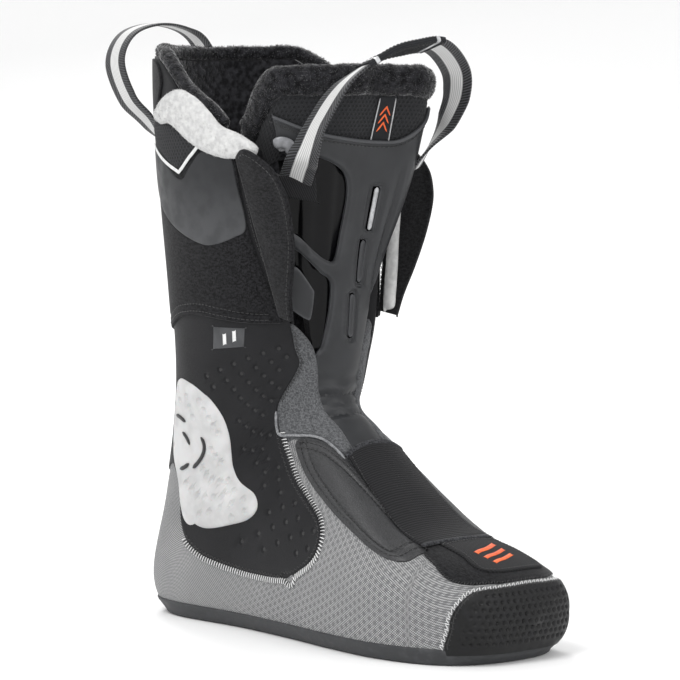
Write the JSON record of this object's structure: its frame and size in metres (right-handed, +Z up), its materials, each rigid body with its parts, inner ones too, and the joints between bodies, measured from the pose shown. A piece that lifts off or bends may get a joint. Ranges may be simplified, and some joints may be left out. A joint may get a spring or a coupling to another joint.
{
  "type": "ski boot inner liner",
  "caption": "Right ski boot inner boot: foam foot and cuff with forward-folding tongue, side wings, instep elastic and webbing pull loops.",
  "frame": {"origin": "on the ground under the middle of the sole", "axes": "+X to the toe, +Y to the inner (medial) side of the right foot, +Z up"},
  "size_m": [0.3107, 0.1338, 0.3407],
  "materials": {
    "sole_rubber": "smooth, satin",
    "black_felt": "brushed loop felt, matt",
    "grey_mesh": "woven mesh over foam, matt",
    "charcoal_foam": "perforated closed-cell foam, satin",
    "black_rubber": "moulded grain, matt",
    "black_fleece": "short pile, matt",
    "white_fleece": "short pile, matt",
    "label_ribbon": "ribbed ribbon, matt",
    "elastic_web": "woven elastic, matt",
    "moulded_grey": "moulded film, satin",
    "grey_film": "welded film, satin",
    "grey_felt": "melange felt, matt",
    "white_foam": "dimpled soft foam, matt",
    "black_mesh": "coarse knit, matt",
    "gloss_black": "fluted film, glossy",
    "pale_plastic": "moulded, satin",
    "webbing": "woven webbing, white middle and black edges"
  },
  "bodies": {
    "boot": {"sole": "sole_rubber", "insole": "black_felt", "lower_shell": "grey_mesh", "cuff_shell": "charcoal_foam", "toe_cap": "black_rubber", "toe_fleece": "black_fleece", "toe_tab": "label_ribbon", "instep_elastic": "elastic_web", "tongue_lower": "moulded_grey", "cuff_cover": "black_felt", "collar_lining": "black_fleece", "collar_rim": "black_fleece", "size_tag": "grey_film", "gusset_lateral": "grey_felt", "ankle_pad_lateral": "white_foam", "side_overlay_lateral": "moulded_grey", "film_patch_lateral": "grey_film", "mesh_inset_lateral": "black_mesh", "fleece_rim_lateral": "white_fleece", "gusset_medial": "grey_felt", "ankle_pad_medial": "white_foam", "side_overlay_medial": "moulded_grey", "film_patch_medial": "grey_film", "mesh_inset_medial": "black_mesh", "fleece_rim_medial": "white_fleece"},
    "tongue": {"tongue_pad": "black_felt", "tongue_film": "gloss_black", "tongue_plate": "moulded_grey", "tongue_mesh": "black_mesh", "tongue_collar": "black_fleece", "tongue_label": "label_ribbon", "slot_insert_1": "pale_plastic", "slot_insert_2": "pale_plastic", "slot_insert_3": "pale_plastic", "lace_stud": "pale_plastic"},
    "lateral_wing": {"lateral_wing": "black_felt", "lateral_wing_fleece": "white_fleece"},
    "medial_wing": {"medial_wing": "black_felt", "medial_wing_fleece": "white_fleece"},
    "front_loop": {"tongue_loop": "webbing"},
    "rear_loop": {"rear_loop": "webbing"}
  },
  "joints": [
    {"name": "tongue_tilt", "type": "hinge", "parent": "boot", "child": "tongue", "pos_m": [0.0015, 0, 0.128], "axis": [0, 1, 0], "range_deg": [-3, 40]},
    {"name": "lateral_wing_fold", "type": "hinge", "parent": "boot", "child": "lateral_wing", "pos_m": [-0.0243, -0.05677, 0.26703], "axis": [0.119, 0.2424, -0.9629], "range_deg": [-6, 60]},
    {"name": "medial_wing_fold", "type": "hinge", "parent": "boot", "child": "medial_wing", "pos_m": [-0.0243, 0.05664, 0.26703], "axis": [-0.1201, 0.2019, 0.972], "range_deg": [-6, 60]},
    {"name": "front_loop_swing", "type": "hinge", "parent": "tongue", "child": "front_loop", "pos_m": [0.014, 0, 0.262], "axis": [0, 1, 0], "range_deg": [-6, 55]},
    {"name": "rear_loop_swing", "type": "hinge", "parent": "boot", "child": "rear_loop", "pos_m": [-0.132, 0, 0.266], "axis": [0, -1, 0], "range_deg": [-6, 60]}
  ]
}
